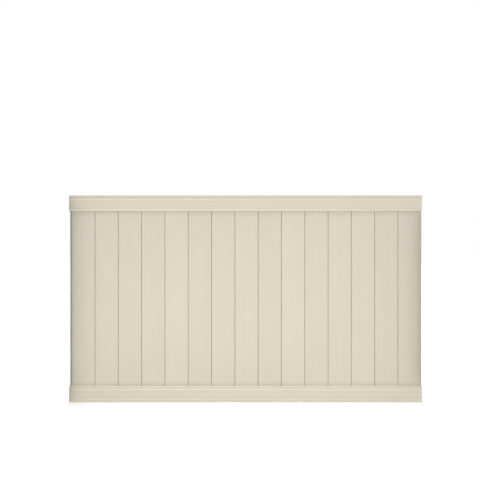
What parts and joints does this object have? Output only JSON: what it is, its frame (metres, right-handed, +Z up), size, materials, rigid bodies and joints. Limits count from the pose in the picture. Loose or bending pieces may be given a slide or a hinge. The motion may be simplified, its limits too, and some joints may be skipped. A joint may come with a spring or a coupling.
{
  "type": "vinyl privacy fence panel",
  "caption": "Privacy fence panel: hollow tongue-and-groove vinyl boards stand side by side in the pockets of a grooved top rail and a steel-stiffened bottom rail.",
  "frame": {"origin": "middle of the bottom rail's underside", "axes": "+X along the rails, from the panel's tongue end to its groove end; +Y through the panel from front to back; +Z up"},
  "size_m": [2.301, 0.0508, 1.3484],
  "materials": {
    "board_vinyl": "satin",
    "rail_vinyl": "satin",
    "zinc_steel": "satin"
  },
  "bodies": {
    "root": {"board_01": "board_vinyl", "board_02": "board_vinyl", "board_03": "board_vinyl", "board_04": "board_vinyl", "board_05": "board_vinyl", "board_06": "board_vinyl", "board_07": "board_vinyl", "board_08": "board_vinyl", "board_09": "board_vinyl", "board_10": "board_vinyl", "board_11": "board_vinyl", "board_12": "board_vinyl", "board_13": "board_vinyl", "board_14": "board_vinyl", "board_15": "board_vinyl", "bottom_rail": "rail_vinyl", "top_rail": "rail_vinyl", "rail_stiffener": "zinc_steel"}
  },
  "joints": []
}
